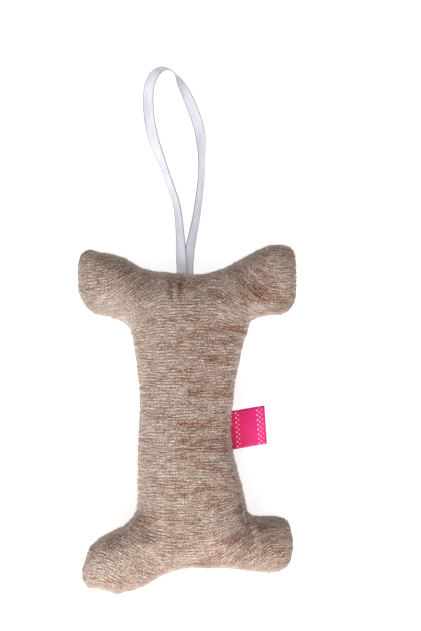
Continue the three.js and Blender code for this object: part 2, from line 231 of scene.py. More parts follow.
ROW_SHIFT = (13.7, 5.3)  # from one row's place in the noise to the next row's
thread_group, given, result = new_group(
    "Threads", "Height", Pitch=2.0, Wander=0.3, Wander_length=12.0, Break_length=4.0, Break_depth=0.5)
parts = split(given["Place"])
sway = streaks(given["Place"], given["Wander length"], given["Wander length"], 1.0, 0.0, 1.0)
moved = calc("ADD", parts["Y"], calc("MULTIPLY", calc("SUBTRACT", sway, 0.5), given["Wander"]))
turns = calc("DIVIDE", moved, given["Pitch"])
wave = calc("MULTIPLY_ADD", calc("COSINE", calc("MULTIPLY", turns, math.tau)), 0.5, 0.5)
# every row has breaks of its own, so that they don't line up with the next row's
row = calc("ROUND", turns)
own_place = add(thread_group, "ShaderNodeCombineXYZ", {
    "X": parts["X"], "Y": calc("MULTIPLY", row, ROW_SHIFT[0]), "Z": calc("MULTIPLY", row, ROW_SHIFT[1]),
}).outputs[0]
broken = streaks(own_place, given["Break length"], 1.0, 2.0, 0.36, 0.62)
gone = calc("MULTIPLY", calc("SUBTRACT", 1.0, broken), given["Break depth"])
feed(result["Height"], calc("MULTIPLY", wave, calc("SUBTRACT", 1.0, gone)))


def threads(place, pitch, wander, wander_length, break_length, break_depth):
    """Rows of yarn a pitch apart, in mm, that wander and are broken; their tops are 1."""
    return use_group(thread_group, place, pitch, wander, wander_length, break_length, break_depth)


print("shader groups:", [g.name for g in bpy.data.node_groups])

# %% [markdown]
# ## The ribbon loop
# The loop is one length of flat satin ribbon, 7 mm wide, whose two ends are caught side by side in the
# top seam. A ribbon bends easily one way only, so it turns part of the way on its edge wherever its route
# bends sideways, and folds over at the top. It is built as a thin strip swept along its route, turning
# as it goes.
# The route is that of the CAD model, and the loop comes first because its length fixes it.

# %% Ribbon route
RIBBON_WIDTH = 7 * MM
RIBBON_THICK = 0.5 * MM
RIBBON_TUCK = 4 * MM
LOOP_ROOT = 95.69
loop_route = [
    # across, out from the seam and up, in mm, and how far the ribbon is turned on its edge, in degrees
    (-3.3, 0.7, 23.0, 5), (-3.9, 9.3, 22.0, 20), (-4.7, 24.2, 17.2, 38), (-6.9, 43.1, 8.6, 47),
    (-10.4, 54.8, 4.6, 50), (-15.4, 69.1, 3.2, 50), (-21.4, 85.3, 2.1, 20), (-24.9, 99.0, 1.6, 0),
    (-26.1, 112.0, 1.8, 5), (-25.4, 123.0, 2.3, 12), (-21.6, 131.4, 2.8, 28),
    (-15.4, 134.9, 3.6, 60), (-9.2, 132.6, 4.0, 92), (-4.6, 125.3, 3.2, 45), (-0.3, 116.9, 2.0, 18),
    (4.1, 106.3, 1.6, 0), (8.1, 92.8, 1.9, 10), (9.1, 79.5, 3.0, 45), (9.2, 67.8, 3.6, 53),
    (8.5, 57.7, 4.4, 51), (6.0, 37.9, 9.6, 48), (3.7, 25.8, 14.6, 42), (1.8, 16.3, 18.0, 28),
    (0.7, 8.3, 20.0, 10), (0.4, 0.3, 21.0, 4),
]
route = [Vector((x, LOOP_ROOT + out, up)) * MM for x, out, up, turn in loop_route]


def smooth_line(points, steps, closed=False):
    """A Catmull-Rom line through the points, with the same number of steps in each stretch."""
    count = len(points)
    line = []
    for i in range(count if closed else count - 1):
        a, b, c, d = (points[k % count if closed else min(max(k, 0), count - 1)]
                      for k in range(i - 1, i + 3))
        for s in range(steps):
            t = s / steps
            line.append(0.5 * ((2 * b) + (c - a) * t + (2 * a - 5 * b + 4 * c - d) * t * t
                               + (3 * b - a - 3 * c + d) * t ** 3))
    return line if closed else line + [points[-1].copy()]


def even_line(line, step, closed=False):
    """The same line with its points a step apart, and its length."""
    points = line + [line[0]] if closed else line
    lengths = [0.0]
    for a, b in zip(points, points[1:]):
        lengths.append(lengths[-1] + (b - a).length)
    count = max(2, round(lengths[-1] / step))
    even = []
    at = 0
    for i in range(count if closed else count + 1):
        want = lengths[-1] * i / count
        while at < len(points) - 2 and lengths[at + 1] < want:
            at += 1
        share = (want - lengths[at]) / max(lengths[at + 1] - lengths[at], 1e-12)
        even.append(points[at].lerp(points[at + 1], min(share, 1)))
    return even, lengths[-1]


ribbon_line, ribbon_length = even_line(smooth_line(route, 12), 1.6 * MM)
route_run = np.cumsum([0.0] + [(b - a).length for a, b in zip(route, route[1:])])
route_turn = [row[3] for row in loop_route]
print("ribbon:", len(ribbon_line), "sections,", round(ribbon_length / MM), "mm long")


# %% Ribbon mesh
def lay_cloth(data, places):
    """A UV layer that holds each point's place on its cut of cloth, in mm."""
    layer = data.uv_layers.new(name="cloth")
    corner_points = np.zeros(len(data.loops), int)
    data.loops.foreach_get("vertex_index", corner_points)
    layer.data.foreach_set("uv", np.asarray(places, float)[corner_points].ravel())


def smooth_faces(data, smooth=True):
    data.polygons.foreach_set("use_smooth", [smooth] * len(data.polygons))


def mesh_piece(name, points, faces, places=None, smooth=True):
    """A new object from points and faces."""
    data = bpy.data.meshes.new(name)
    data.from_pydata([tuple(p) for p in points], [], faces)
    data.validate()
    if places is not None:
        lay_cloth(data, places)
    smooth_faces(data, smooth)
    return new_object(name, data)


def tube_faces(rings, ring, first=0):
    """The faces between rings of points that follow one another."""
    starts = [(first + i * ring + k, first + i * ring + (k + 1) % ring)
              for i in range(rings - 1) for k in range(ring)]
    return [(a, b, b + ring, a + ring) for a, b in starts]


def ribbon_mesh():
    start = ribbon_line[0] - (ribbon_line[1] - ribbon_line[0]).normalized() * RIBBON_TUCK
    end = ribbon_line[-1] - (ribbon_line[-2] - ribbon_line[-1]).normalized() * RIBBON_TUCK
    line = [start, *ribbon_line, end]
    half, thick = RIBBON_WIDTH / 2, RIBBON_THICK / 2
    # across the strip: a thicker woven edge each side of a thin middle
    section = [(-half, 0.0), (-0.97 * half, 1.0), (-0.86 * half, 1.1), (-0.78 * half, 0.65), (0, 0.6),
               (0.78 * half, 0.65), (0.86 * half, 1.1), (0.97 * half, 1.0), (half, 0.0)]
    section += [(x, -h) for x, h in reversed(section[1:-1])]
    points, places = [], []
    run = 0.0
    for i, centre in enumerate(line):
        along = (line[min(i + 1, len(line) - 1)] - line[max(i - 1, 0)]).normalized()
        up = Vector((0, 0, 1))
        up = (up - along * up.dot(along)).normalized()
        outward = up.cross(along)
        if i:
            run += (centre - line[i - 1]).length
        share = min(max((run - RIBBON_TUCK) / ribbon_length, 0), 1)
        turn = math.radians(float(np.interp(share * route_run[-1], route_run, route_turn)))
        face = math.cos(turn) * up + math.sin(turn) * outward
        across = along.cross(face)
        for x, h in section:
            points.append(centre + across * x + face * (h * thick))
            places.append((x / MM, run / MM))
    ring = len(section)
    faces = tube_faces(len(line), ring)
    faces.append(tuple(reversed(range(ring))))
    faces.append(tuple(range(len(points) - ring, len(points))))
    return mesh_piece("ribbon_loop", points, faces, places)


ribbon = ribbon_mesh()
print("ribbon mesh:", len(ribbon.data.polygons), "faces")

# %% [markdown]
# Satin shines because its threads float lengthwise over many crossings. The weave is too fine to model,
# so its rows go into the bump, and the shine varies a little along the ribbon where it has been handled.
# Both edges are painted a darker grey, as painted shade.

# %% Satin
satin, tree, shader = new_material("white satin", Roughness=0.42, Sheen_Weight=0.5, Sheen_Roughness=0.35)
uv = cloth_place(tree)
quarter = {"Vector": uv, "Angle": math.pi / 2}
turned = add(tree, "ShaderNodeVectorRotate", quarter, rotation_type="Z_AXIS").outputs[0]
lengthwise = threads(turned, 0.45, 0.15, 9.0, 6.0, 0.7)
crosswise = threads(uv, 0.5, 0.1, 5.0, 1.2, 0.5)
handled = streaks(uv, 5.0, 14.0, 2.0, 0.3, 0.7)
# painted shade: the outer edges turn grey, and are rougher there as a woven selvedge
selvedge_and_shade = ease(calc("ABSOLUTE", split(uv)["X"]), 2.85, 3.2)
body = ramp(calc("MULTIPLY_ADD", lengthwise, 0.35, calc("MULTIPLY", handled, 0.6)),
            {0.0: "e2e3ee", 0.5: "f3f5fc", 1.0: "ffffff"})
dull = calc("MULTIPLY_ADD", handled, -0.12, 0.42)
dress(shader, blend_colours(selvedge_and_shade, body, "9c9ba3"),
      height=calc("ADD", calc("MULTIPLY", lengthwise, 0.5), crosswise), strength=0.35, depth=0.05,
      roughness=calc("MULTIPLY_ADD", selvedge_and_shade, 0.25, dull))
ribbon.data.materials.append(satin)
print("satin has", len(tree.nodes), "nodes")

# %% [markdown]
# ## The stuffed cover
# The cover is two identical cuts. Their outline is drawn once, as a smooth closed line, and it is
# where the seam runs. The cloth inside it is an even net of small triangles, because uneven ones would
# stretch unevenly in the simulation.

# %% Seam outline
seam_outline = [
    (-71.8, 97.2), (-71.3, 103.7), (-69.2, 108.9), (-63.2, 111.5), (-57.7, 109.9), (-51.5, 108.7),
    (-44.3, 107.1), (-39.1, 105.0), (-34.6, 102.1), (-28.7, 98.8), (-18.3, 97.1), (-6.0, 96.0),
    (9.0, 95.0), (14.8, 96.5), (22.0, 98.5), (28.8, 101.7), (37.9, 106.7), (46.2, 111.2),
    (52.4, 113.7), (58.6, 114.7), (64.9, 113.7), (69.0, 111.2), (71.0, 106.3), (71.7, 90.9),
    (71.5, 80.5), (70.3, 75.1), (66.2, 69.7), (60.7, 67.3), (50.3, 66.6), (45.4, 65.2),
    (42.1, 63.1), (40.4, 59.8), (39.5, 54.9), (37.1, 49.1), (33.9, 34.1), (31.7, 23.7),
    (30.8, 13.3), (29.5, 2.9), (29.0, -6.8), (30.1, -17.9), (32.4, -28.9), (34.7, -37.4),
    (36.6, -44.5), (38.0, -52.3), (40.2, -60.1), (45.2, -62.1), (55.8, -61.8), (62.9, -63.1),
    (66.8, -67.3), (69.1, -75.1), (69.4, -83.5), (68.1, -91.3), (64.2, -97.2), (54.5, -100.4),
    (37.4, -98.7), (23.3, -97.3), (13.8, -97.8), (9.4, -97.3), (-0.8, -97.6), (-13.1, -100.9),
    (-22.0, -105.8), (-28.1, -109.1), (-34.4, -111.6), (-40.6, -112.8), (-43.9, -114.3),
    (-47.3, -114.1), (-50.6, -112.5), (-54.7, -111.2), (-63.8, -110.4), (-66.7, -107.9),
    (-68.8, -103.7), (-69.4, -99.1), (-68.8, -95.9), (-67.1, -90.7), (-65.5, -85.5),
    (-63.0, -81.3), (-59.3, -78.0), (-54.3, -74.7), (-48.0, -71.4), (-41.4, -68.1), (-36.5, -63.4),
    (-33.5, -58.6), (-33.0, -51.7), (-33.0, -35.4), (-33.0, -19.2), (-32.3, -5.3), (-31.6, 12.7),
    (-33.0, 30.2), (-34.8, 44.1), (-36.5, 54.9), (-38.0, 59.0), (-41.7, 62.3), (-47.2, 64.8),
    (-53.0, 66.4), (-59.6, 67.7), (-63.8, 70.2), (-67.9, 75.1), (-70.8, 80.5), (-71.7, 88.7),
]
NET = 3.0  # mm between the net's points
outline = [Vector((x, y, 0)) for x, y in seam_outline]
seam, seam_length = even_line(smooth_line(outline, 8, closed=True), 2.4, closed=True)
seam_xy = np.array([p[:2] for p in seam])
print("seam:", len(seam), "points,", round(seam_length), "mm round")


# %% Cut cloth
def distance_to_seam(points):
    """How far each point lies from the seam, in mm, and whether it is inside it."""
    start = seam_xy
    step = np.roll(seam_xy, -1, axis=0) - start
    inside = np.zeros(len(points), bool)
    nearest = np.full(len(points), 1e9)
    for (ax, ay), (sx, sy) in zip(start, step):
        rel = points - (ax, ay)
        share = np.clip((rel[:, 0] * sx + rel[:, 1] * sy) / (sx * sx + sy * sy), 0, 1)
        gap = np.hypot(rel[:, 0] - share * sx, rel[:, 1] - share * sy)
        nearest = np.minimum(nearest, gap)
        crosses = (ay > points[:, 1]) != (ay + sy > points[:, 1])
        if abs(sy) > 1e-12:
            inside ^= crosses & (points[:, 0] < ax + sx * (points[:, 1] - ay) / sy)
    return nearest, inside


def cut_cloth():
    """The cut as a net of triangles: the seam's points first, then the points inside."""
    rows = []
    for row, y in enumerate(np.arange(-120, 120, NET * math.sqrt(3) / 2)):
        xs = np.arange(-80, 80, NET) + (NET / 2 if row % 2 else 0)
        rows.append(np.column_stack([xs, np.full(len(xs), y)]))
    grid = np.vstack(rows)
    gap, inside = distance_to_seam(grid)
    flat = np.vstack([seam_xy, grid[inside & (gap > 0.62 * NET)]])
    loop = list(range(len(seam_xy)))
    done = geometry.delaunay_2d_cdt([Vector(p) for p in flat], [], [loop], 1, 1e-6)
    return np.array([tuple(v) for v in done[0]]), [tuple(f) for f in done[2]]


net_points, net_faces = cut_cloth()
on_seam = distance_to_seam(net_points)[0] < 0.05
print("cut cloth:", len(net_points), "points,", len(net_faces), "triangles,", int(on_seam.sum()), "on the seam")

# %% [markdown]
# Before it is inflated the pillow needs a starting swell. The height of a thin skin under even pressure
# obeys Poisson's equation over the cut, and its square root has the round edge of a stuffed shape. One
# matrix gives it, and it is also why the wide joins stand a little higher than the knobs.


# %% Starting swell
def smoothstep(low, high, value):
    t = np.clip((value - low) / (high - low), 0, 1)
    return t * t * (3 - 2 * t)


def starting_swell(points, faces, fixed):
    edges = {tuple(sorted((f[k], f[(k + 1) % 3]))) for f in faces for k in range(3)}
    count = len(points)
    pull = np.zeros((count, count))
    for a, b in edges:
        weight = 1 / max(np.sum((points[a] - points[b]) ** 2), 1e-9)
        pull[a, b] = pull[b, a] = weight
    degree = (pull > 0).sum(axis=1)
    total = pull.sum(axis=1)
    matrix = (np.diag(total) - pull) * (4 / np.maximum(degree, 1))[:, None]
    matrix[fixed] = 0
    matrix[fixed, fixed] = 1
    swell = np.linalg.solve(matrix, np.where(fixed, 0.0, 1.0))
    middle = np.hypot(points[:, 0], points[:, 1]) < 12
    return np.sqrt(np.maximum(swell, 0) / swell[middle].max())


SWELL = 20.0  # mm at the middle of the shaft
FLATNESS = 1.45  # how soon the swell levels off
KNOB_FULLER, BETWEEN_LOWER = 0.09, 0.14
swell = starting_swell(net_points, net_faces, on_seam)
net_height = SWELL * np.tanh(FLATNESS * swell) / math.tanh(FLATNESS)
# each knob has a handful of filling pushed into it by itself, so it stands a little fuller than the
# short straight seam between two knobs, which the filling doesn't reach
net_x, net_y = np.abs(net_points).T
between = 1 - smoothstep(20, 45, net_x)
net_height *= 1 + KNOB_FULLER * smoothstep(58, 92, net_y) * smoothstep(18, 50, net_x)
net_height *= 1 - BETWEEN_LOWER * between * np.exp(-((net_y - 95) / 13) ** 2)
print("swell: shaft", round(float(net_height[np.hypot(*net_points.T) < 9].mean()), 1),
      "mm, most", round(float(net_height.max()), 1), "mm")

# %% [markdown]
# ## Inflating it
# Front and back share the seam's points, so they make one closed bag. The seam is pinned, the cloth is
# let out by a little over half a part in a hundred, and pressure fills it. What the bag can't take up
# becomes short puckers along the seam, as on the real one. No point may move far, and the result is kept
# as a mesh.

# %% Cloth simulation
FRAMES = 20
MOST_MOVE = 5.0
CLOTH = {
    "quality": 6, "mass": 0.25, "tension_stiffness": 18, "compression_stiffness": 18, "shear_stiffness": 6,
    "bending_stiffness": 0.4, "air_damping": 3, "use_pressure": True, "uniform_pressure_force": 4.0,
    "shrink_min": -0.006, "shrink_max": -0.006, "vertex_group_mass": "seam",
}

count = len(net_points)
inner = np.where(~on_seam)[0]
back_index = np.arange(count)
back_index[inner] = count + np.arange(len(inner))
bag_points = np.vstack([
    np.column_stack([net_points, SEAM_HEIGHT + net_height]),
    np.column_stack([net_points[inner], SEAM_HEIGHT - net_height[inner]]),
])
back_faces = [tuple(int(back_index[i]) for i in reversed(f)) for f in net_faces]


def vectors(items, name):
    """One vector of each vertex or face, as rows of numbers."""
    values = np.zeros(len(items) * 3)
    items.foreach_get(name, values)
    return values.reshape(-1, 3)


def evaluated(piece):
    return piece.evaluated_get(bpy.context.evaluated_depsgraph_get())


def inflate(points):
    """The bag's points after the cloth simulation, in mm."""
    bag = mesh_piece("bag", points * MM, net_faces + back_faces)
    pins = bag.vertex_groups.new(name="seam")
    pins.add([int(i) for i in np.where(on_seam)[0]], 1.0, "REPLACE")
    cloth = bag.modifiers.new("Cloth", "CLOTH")
    for key, value in CLOTH.items():
        setattr(cloth.settings, key, value)
    cloth.settings.effector_weights.gravity = 0
    cloth.collision_settings.use_self_collision = False
    cloth.point_cache.frame_start = 1
    cloth.point_cache.frame_end = FRAMES
    scene = bpy.context.scene
    for step in range(1, FRAMES + 1):
        scene.frame_set(step)
    result = vectors(evaluated(bag).data.vertices, "co") / MM
    scene.frame_set(1)
    bpy.data.objects.remove(bag)
    return result


bag_xyz = inflate(bag_points)
moved = bag_xyz - bag_points
far = np.linalg.norm(moved, axis=1)
bag_xyz = bag_points + moved * np.minimum(1, MOST_MOVE / np.maximum(far, 1e-9))[:, None]
print("inflated: points moved", round(float(far.mean()), 2), "mm on average and", round(float(far.max()), 2),
      "at most; heights", np.round([bag_xyz[:, 2].min(), bag_xyz[:, 2].max()], 1))

# %% [markdown]
# ## From bag to two covers
# The squeeze joint presses the front towards the back, and only the front flattens, so each side is its
# own piece. Both are subdivided alike, which keeps their shared edge the same. Then come the things that
# a net of 3 mm can't hold: the seam pulled in a little, its puckers, and the few creases of this toy.
# Strokes of crushed and brushed pile, with painted shade at the creases, necks and seam and a painted sheen on
# the steep sides, are written on the cover as masks, for its material to read.

# %% Creases and strokes
CREASES = [
    # start, end, half width and depth in mm: folds at the necks of the knobs, at the foot and under the loop
    ((38.6, -60.0), (45.5, -85.0), 2.2, 1.9),
    ((46.0, -62.5), (54.5, -71.0), 2.2, 0.5),
    ((48.6, 78.3), (56.0, 74.8), 1.3, 0.8),
    ((52.5, 87.4), (68.8, 84.8), 1.2, 0.6),
    ((46.0, 71.0), (58.0, 66.5), 1.6, 0.8),
    ((-37.0, -62.0), (-43.0, -77.0), 2.4, 1.1),
    ((-38.5, 61.5), (-47.0, 74.0), 2.4, 0.9),
    ((40.5, 62.5), (47.5, 77.0), 2.0, 1.0),
    ((16.0, -97.0), (15.5, -78.0), 1.6, 1.2),
    ((-3.8, 96.0), (-4.2, 72.0), 1.5, 1.3),
    ((-9.7, 96.5), (-10.6, 74.0), 1.6, 1.4),
    ((-18.8, 97.0), (-20.0, 84.0), 1.5, 0.7),
    ((4.0, 95.0), (7.0, 84.0), 1.3, 0.5),
]
SHADE_AND_CRUSH = [
    # start, end, half width in mm and strength: above 0 darker, as painted shade at the creases and necks,
    # partly crushed pile; below 0 paler
    ((-54, 104), (-30, 92), 6, 0.9), ((-9.7, 97), (-10.6, 77), 1.8, 0.8), ((-3.8, 97), (-4.2, 79), 1.6, 0.7),
    ((31, 94), (46, 80), 4, 1.0), ((-33, -62), (-24, -73), 6, 1.1), ((-36, -70), (-54, -82), 4, 0.5),
    ((38, -61), (36, -78), 6, 0.8), ((42, -62), (54, -76), 7, 0.8), ((52, 100), (64, 92), 9, -0.35),
    ((-51, 78), (-35, 63), 6, -0.7), ((46, 75), (44, 73), 4, -0.7), ((20, 68), (42, 69), 3, -0.5),
    ((-60, 74), (-50, 72), 4, -0.5), ((-66, -96), (-50, -100), 7, -0.3),
]
BRUSHED = [
    # the same four, where the pile is brushed flat and shows its rosy side in streaks along the rows
    ((12, 59), (38, 60), 2.2, 0.9), ((14, 50), (36, 51), 2.2, 0.9), ((10, 41), (26, 40), 2.4, 0.7),
    ((-2, 27), (14, 25), 2.2, 0.6), ((2, 18), (27, 17), 2.6, 0.8), ((-4, -1), (24, 1), 2.0, 1.0),
    ((-2, -12), (26, -13), 2.0, 1.0), ((-6, -18), (24, -18.5), 1.4, 0.9), ((6, -43.5), (28, -43.5), 1.6, 0.8),
    ((-28, -62), (8, -63), 1.4, 0.6), ((-12, 90), (4, 88), 5.0, 0.4), ((50, 80), (64, 77), 1.6, 0.8),
    ((-52, -103), (-38, -104), 1.5, 0.7),
]


def beside(points, start, end):
    """How far each point lies from a line, in mm, and how far along it, from 0 to 1."""
    step = end - start
    rel = points - start
    share = np.clip(rel @ step / (step @ step), 0, 1)
    return np.linalg.norm(rel - share[:, None] * step, axis=1), share


def strokes(points, rows):
    """Soft strokes on the cloth: how strong they are together at each place."""
    total = np.zeros(len(points))
    for start, end, half, strength in rows:
        gap = beside(points, np.array(start, float), np.array(end, float))[0] / half
        total += strength * np.exp(-gap ** 2)
    return np.clip(total, -1, 1.2)


BACK_CREASE = 0.6
RIDGE, RIDGE_AT = 0.35, 1.9  # how high the cloth stands beside a crease, and how many half widths away


def crease_depth(points, side):
    """How far creases lower the cloth at each place. The back's are the front's, shifted and shallower."""
    depth = np.zeros(len(points))
    for k, (start, end, half, deep) in enumerate(CREASES):
        a, b = np.array(start, float), np.array(end, float)
        if side < 0:
            a, b, deep = a + (1.5, -1.0), b + (3.5 * (-1) ** k, 2.0), BACK_CREASE * deep
        gap, share = beside(points, a, b)
        gap /= half
        fade = 1 - smoothstep(0.35, 1.0, share)
        depth += deep * fade * (np.exp(-gap ** 2) - RIDGE * np.exp(-((gap - RIDGE_AT) ** 2) / 0.8))
    return depth


PUCKER_LENGTH, PUCKER_HEIGHT, PUCKER_REACH = 7.4, 0.6, 6.5


def pucker(gap, nearest, side):
    """Short ridges square to the seam, where the cloth is gathered by its stitches."""
    run = nearest * seam_length / len(seam_xy)
    wobble = np.array([noise.noise(Vector((r / 9.0, side * 3.7, 1.3))) for r in run])
    strength = np.array([0.5 + noise.noise(Vector((r / 31.0, side * 2.1, 7.7))) for r in run])
    ridge = np.sin(run / PUCKER_LENGTH * math.tau + 5.0 * wobble + side)
    reach = np.exp(-gap / PUCKER_REACH) * smoothstep(0, 2.0, gap)
    return PUCKER_HEIGHT * np.clip(strength, 0.15, 1) * ridge * reach


# %% Both covers
LEVELS = 2
SEAM_DIP, SEAM_ROUND = 1.5, 1.6
LUMP_SIZE, LUMP_HEIGHT = 17.0, 0.7
FRONT_FLAT, BACK_FLAT = SEAM_HEIGHT + 21.5, 0.5  # the heights where front and back lie level
SIDE_START = 8.0
UPPER_FAN, RIGHT_FAN, LEFT_FAN = 22.0, 30.0, 17.0  # how far rows move at the knobs
OTHER_CUT = 400.9  # mm between the two cuts on the bolt, so that their patterns differ


def rib_rows(x, y):
    """The row of the cloth that lies at each place. Rows run straight across the shaft and fan at the ends."""
    out = smoothstep(14, 58, np.abs(x))
    upper = smoothstep(42, 80, y)
    lower = smoothstep(38, 82, -y)
    return y + UPPER_FAN * upper * out - np.where(x > 0, RIGHT_FAN, LEFT_FAN) * lower * out


def make_cover(name, own_points, own_faces, side):
    """One cover, from its half of the bag: the front for side 1 and the back for side -1."""
    rough = mesh_piece(name + "_rough", own_points * MM, own_faces)
    modifier = rough.modifiers.new("Subdivision", "SUBSURF")
    modifier.levels = modifier.render_levels = LEVELS
    modifier.boundary_smooth = "ALL"
    fine = bpy.data.meshes.new_from_object(evaluated(rough))
    bpy.data.objects.remove(rough)
    fine.name = name
    xyz = vectors(fine.vertices, "co") / MM
    normals = vectors(fine.vertices, "normal")
    gap, _ = distance_to_seam(xyz[:, :2])
    nearest = np.concatenate([
        np.argmin(np.linalg.norm(part[:, None, :2] - seam_xy[None], axis=2), axis=1)
        for part in np.array_split(xyz, 12)])
    folds = crease_depth(xyz[:, :2], side) * smoothstep(0, 2.5, gap)
    xyz += normals * (pucker(gap, nearest, side) - folds)[:, None]
    # the stitches pull the seam in by SEAM_DIP, alike on both sides, so their shared edge stays shared
    ring = np.roll(seam_xy, -1, axis=0) - np.roll(seam_xy, 1, axis=0)
    inward = np.column_stack([ring[:, 1], -ring[:, 0]]) / np.linalg.norm(ring, axis=1)[:, None]
    near_seam = np.exp(-((gap ** 2 + (xyz[:, 2] - SEAM_HEIGHT) ** 2) / SEAM_ROUND ** 2))
    xyz[:, :2] += inward[nearest] * (SEAM_DIP * near_seam)[:, None]
    # small lumps of the filling under the cloth
    lumps = np.array([noise.noise(Vector(p) / LUMP_SIZE) for p in xyz]) * LUMP_HEIGHT
    xyz += normals * (lumps * smoothstep(1, 12, gap))[:, None]
    if side < 0:
        # the back rests on the floor, so it is flat there
        xyz[:, 2] = BACK_FLAT * np.logaddexp(0, xyz[:, 2] / BACK_FLAT)
    fine.vertices.foreach_set("co", (xyz * MM).ravel())
    fine.update()
    slope = np.linalg.norm(normals[:, :2], axis=1)
    away = normals[:, :2] / np.maximum(slope, 1e-6)[:, None]
    drop = FRONT_FLAT - xyz[:, 2] if side > 0 else xyz[:, 2] - BACK_FLAT
    # on the steep side the cloth's own measure runs on down the side, so that the rows don't smear there
    down_side = 0.5 * np.logaddexp(0, drop - SIDE_START) * smoothstep(0.45, 0.85, slope)
    flat = xyz[:, :2] + away * down_side[:, None]
    flat[:, 1] = rib_rows(xyz[:, 0], flat[:, 1]) + (0 if side > 0 else OTHER_CUT)
    masks = {
        # painted shade at the creases and necks, partly crushed pile
        "shade_and_crush": strokes(xyz[:, :2], SHADE_AND_CRUSH),
        "brushed": strokes(xyz[:, :2] * (side, 1), BRUSHED),
        # painted shade: darker in the seam's groove, where the pile parts
        "seam_shade": np.exp(-(gap ** 2 + (xyz[:, 2] - SEAM_HEIGHT) ** 2) / 1.1),
        # painted sheen: paler on the steep sides, where the pile is seen along the surface
        "edge_sheen": smoothstep(0.88, 1.0, slope),
    }
    for mask, values in masks.items():
        fine.attributes.new(mask, "FLOAT", "POINT").data.foreach_set("value", values)
    lay_cloth(fine, flat)
    smooth_faces(fine)
    return new_object(name, fine)


front = make_cover("cover_front", bag_xyz[:count], net_faces, 1)
order = np.concatenate([np.where(on_seam)[0], np.arange(count, len(bag_xyz))])
slots = np.zeros(len(bag_xyz), int)
slots[order] = np.arange(len(order))
back = make_cover("cover_back", bag_xyz[order], [tuple(int(slots[i]) for i in f) for f in back_faces], -1)
print("covers:", len(front.data.polygons), "and", len(back.data.polygons), "faces")

# %% [markdown]
# ## Ribbed chenille
# Chenille yarn is a core with a short pile round it, woven in rows, so the cloth has ribs about 2 mm
# apart that catch the light in broken dashes. Brushed pile lies one way in patches, which look darker and
# rosier. Ribs and dashes go into the bump and the colour, patches into the colour, and sheen gives the
# pale edge that pile shows where it is seen along the surface. That pale edge is also painted into the
# colour of the steep sides, as a painted sheen, and painted shade darkens the seam's groove and the
# creases and necks, where the pile is also crushed.

# %% Chenille
chenille, tree, shader = new_material(
    "ribbed chenille", Roughness=0.95, Specular_IOR_Level=0.15, Sheen_Weight=0.55, Sheen_Roughness=0.3,
    Sheen_Tint=(1.0, 0.91, 0.84, 1),
)
uv = cloth_place(tree)
ribs = threads(uv, 2.05, 2.0, 12.0, 3.4, 0.95)
dashes = streaks(uv, 6.5, 0.62, 3.0, 0.36, 0.64)
fibres = streaks(uv, 0.95, 0.5, 3.0, 0.36, 0.64)
patches = streaks(uv, 21.0, 7.0, 5.0, 0.49, 0.59)
crushed = streaks(uv, 8.0, 14.0, 4.0, 0.48, 0.66)
clouds = streaks(uv, 40.0, 24.0, 1.0, 0.35, 0.65)
uneven = calc("MULTIPLY_ADD", streaks(uv, 9.0, 2.2, 3.0, 0.38, 0.60), 1.2, 0.4)
shade_and_crush, brushed, seam_shade, edge_sheen = (
    add(tree, "ShaderNodeAttribute", attribute_name=mask).outputs["Fac"]
    for mask in ("shade_and_crush", "brushed", "seam_shade", "edge_sheen"))

# tone runs from the dark between the rows to the pale tips of the pile
tone = calc("MULTIPLY_ADD", ribs, 0.2, calc("MULTIPLY_ADD", fibres, 0.49, 0.02))
tone = calc("MULTIPLY_ADD", dashes, 0.28, tone)
# painted shade darkens the seam's groove, and a painted sheen pales the steep sides
tone = calc("MULTIPLY_ADD", seam_shade, -0.3, calc("MULTIPLY_ADD", edge_sheen, 0.12, tone))
# painted shade at the creases and necks, partly crushed pile, lowers the tone
tone = calc("MULTIPLY_ADD", calc("MULTIPLY", uneven, shade_and_crush), -0.15, tone)
cloth = ramp(tone, {0.16: "745b4b", 0.35: "a68b7a", 0.53: "cbb2a2", 0.80: "f2e4da"})
rosy = ramp(tone, {0.18: "563427", 0.38: "8c6352", 0.56: "b38d7a", 0.80: "e2c8ba"})
grey = ramp(tone, {0.18: "615040", 0.38: "8e7c68", 0.56: "b3a18e", 0.80: "e0d3c5"})

# rosier, darker patches, more of them towards the right, and rosy streaks where the pile is brushed flat
right = ease(split(uv)["X"], -34.0, 16.0, 0.3, 1.0)
rosy_share = calc("MULTIPLY", calc("MULTIPLY_ADD", clouds, 0.3, patches, clamp=True), right)
flattened = calc("MULTIPLY", uneven, brushed)
rosy_share = calc("MULTIPLY_ADD", flattened, 0.8, calc("MULTIPLY", rosy_share, 0.8), clamp=True)
colour = blend_colours(calc("MULTIPLY", crushed, 0.4), cloth, grey)
colour = blend_colours(rosy_share, colour, rosy)
# painted sheen: the steep sides blend towards a pale colour
colour = blend_colours(calc("MULTIPLY", edge_sheen, 0.34), colour, "efd6c4")
height = calc("MULTIPLY_ADD", dashes, 0.3, calc("MULTIPLY", fibres, 0.28))
dress(shader, colour, calc("MULTIPLY_ADD", ribs, 0.42, height), strength=0.9)
for cover in (front, back):
    cover.data.materials.append(chenille)
print("chenille has", len(tree.nodes), "nodes")

# %% [markdown]
# Chenille's pile also stands out in short loose ends, which blur the outline of the toy and catch the
# light there. They are modelled, as thin spikes rooted in the cover. Most stand on the sides, where they
# are seen against what lies behind, and each cover has its own so that they move with it.


# %% Loose pile
END_MOST, END_ROOT = 1.9, 0.25  # the longest end and the depth of its root, in mm
FLOOR_GAP = 0.05


def unit(rows):
    return rows / np.linalg.norm(rows, axis=1)[:, None]


